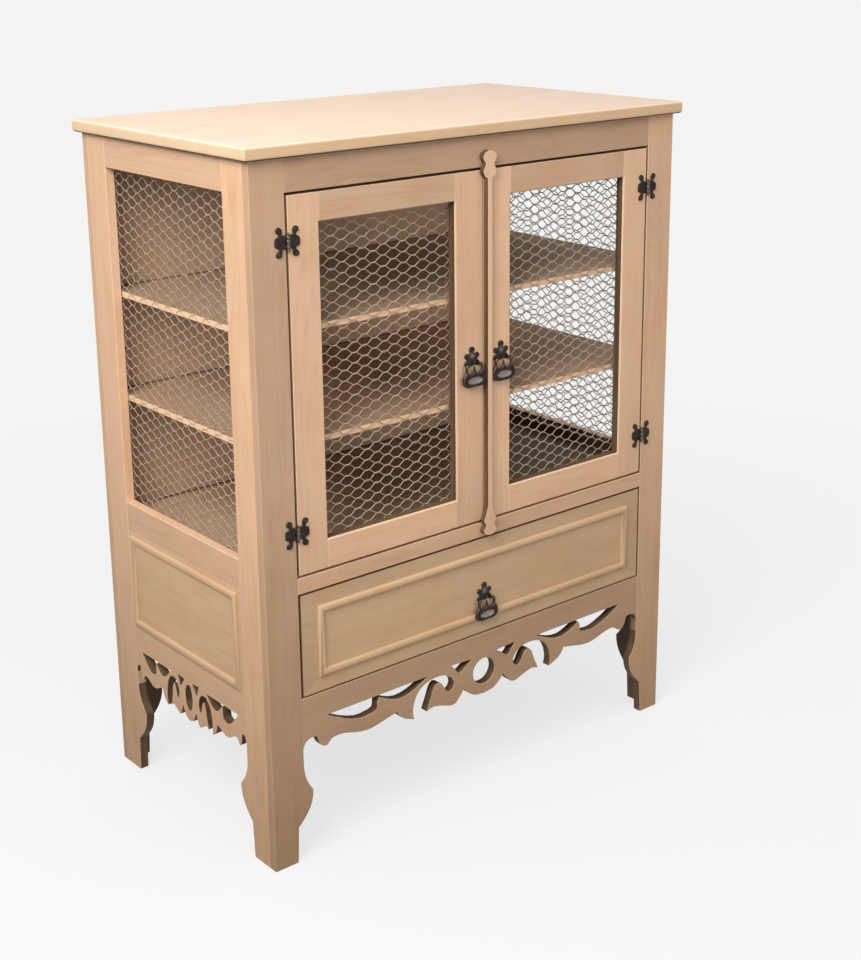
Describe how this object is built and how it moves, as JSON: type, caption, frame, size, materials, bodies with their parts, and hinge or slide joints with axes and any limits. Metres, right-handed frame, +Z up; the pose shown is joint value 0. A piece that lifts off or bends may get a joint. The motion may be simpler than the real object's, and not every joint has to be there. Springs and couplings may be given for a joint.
{
  "type": "jelly cupboard",
  "caption": "Unpainted wooden jelly cupboard: wire-fronted doors and wire sides over a drawer, fretted aprons and shaped legs, dark hinges and drop pulls.",
  "frame": {"origin": "on the floor, under the middle of the footprint", "axes": "+X to the cupboard's right as seen from the front, +Y to its back, +Z up; the doors and the drawer face -Y"},
  "size_m": [1.136, 0.644, 1.45],
  "materials": {
    "pine": "bare sanded wood",
    "pine_top": "bare sanded wood",
    "pine_inside": "bare wood, darkened",
    "iron": "dark bronzed",
    "wire": "weathered zinc"
  },
  "bodies": {
    "case": {"top_board": "pine_top", "front_stile_left": "pine", "front_stile_right": "pine", "back_stile_left": "pine", "back_stile_right": "pine", "front_top_rail": "pine", "front_mid_rail": "pine", "front_apron": "pine", "back_top_rail": "pine", "back_bottom_rail": "pine", "back_panel": "pine_inside", "side_front_stile_left": "pine", "side_front_stile_right": "pine", "side_rear_stile_left": "pine", "side_rear_stile_right": "pine", "side_top_rail_left": "pine", "side_top_rail_right": "pine", "side_mid_rail_left": "pine", "side_mid_rail_right": "pine", "side_panel_left": "pine", "side_panel_right": "pine", "side_apron_left": "pine", "side_apron_right": "pine", "side_wire_left": "wire", "side_wire_right": "wire", "shelf_1": "pine_inside", "shelf_2": "pine_inside", "cabinet_floor": "pine_inside", "drawer_runner_left": "pine_inside", "drawer_runner_right": "pine_inside", "hinge_leaf_frame_lower_left": "iron", "hinge_leaf_frame_lower_right": "iron", "hinge_leaf_frame_upper_left": "iron", "hinge_leaf_frame_upper_right": "iron"},
    "door_left": {"door_left_hinge_stile": "pine", "door_left_meeting_stile": "pine", "door_left_top_rail": "pine", "door_left_bottom_rail": "pine", "door_left_wire": "wire", "hinge_leaf_door_left_lower": "iron", "hinge_leaf_door_left_upper": "iron", "pull_plate_door_left": "iron"},
    "bail_left": {"pull_bail_door_left": "iron"},
    "door_right": {"door_right_hinge_stile": "pine", "door_right_meeting_stile": "pine", "door_right_top_rail": "pine", "door_right_bottom_rail": "pine", "door_right_wire": "wire", "meeting_strip": "pine", "hinge_leaf_door_right_lower": "iron", "hinge_leaf_door_right_upper": "iron", "pull_plate_door_right": "iron"},
    "bail_right": {"pull_bail_door_right": "iron"},
    "drawer": {"drawer_front": "pine", "drawer_side_left": "pine_inside", "drawer_side_right": "pine_inside", "drawer_back": "pine_inside", "drawer_bottom": "pine_inside", "pull_plate_drawer": "iron"},
    "bail_drawer": {"pull_bail_drawer": "iron"}
  },
  "joints": [
    {"name": "door_left_hinge", "type": "hinge", "parent": "case", "child": "door_left", "pos_m": [-0.47525, -0.3125, 0.985], "axis": [0, 0, -1], "range_deg": [0, 165]},
    {"name": "door_right_hinge", "type": "hinge", "parent": "case", "child": "door_right", "pos_m": [0.47525, -0.3125, 0.985], "axis": [0, 0, 1], "range_deg": [0, 165]},
    {"name": "drawer_slide", "type": "slide", "parent": "case", "child": "drawer", "axis": [0, -1, 0], "range_m": [0, 0.38]},
    {"name": "bail_left_swing", "type": "hinge", "parent": "door_left", "child": "bail_left", "pos_m": [-0.0325, -0.3185, 0.96], "axis": [-1, 0, 0], "range_deg": [0, 80]},
    {"name": "bail_right_swing", "type": "hinge", "parent": "door_right", "child": "bail_right", "pos_m": [0.047, -0.3185, 0.96], "axis": [-1, 0, 0], "range_deg": [0, 80]},
    {"name": "bail_drawer_swing", "type": "hinge", "parent": "drawer", "child": "bail_drawer", "pos_m": [0, -0.3185, 0.436], "axis": [-1, 0, 0], "range_deg": [0, 80]}
  ]
}
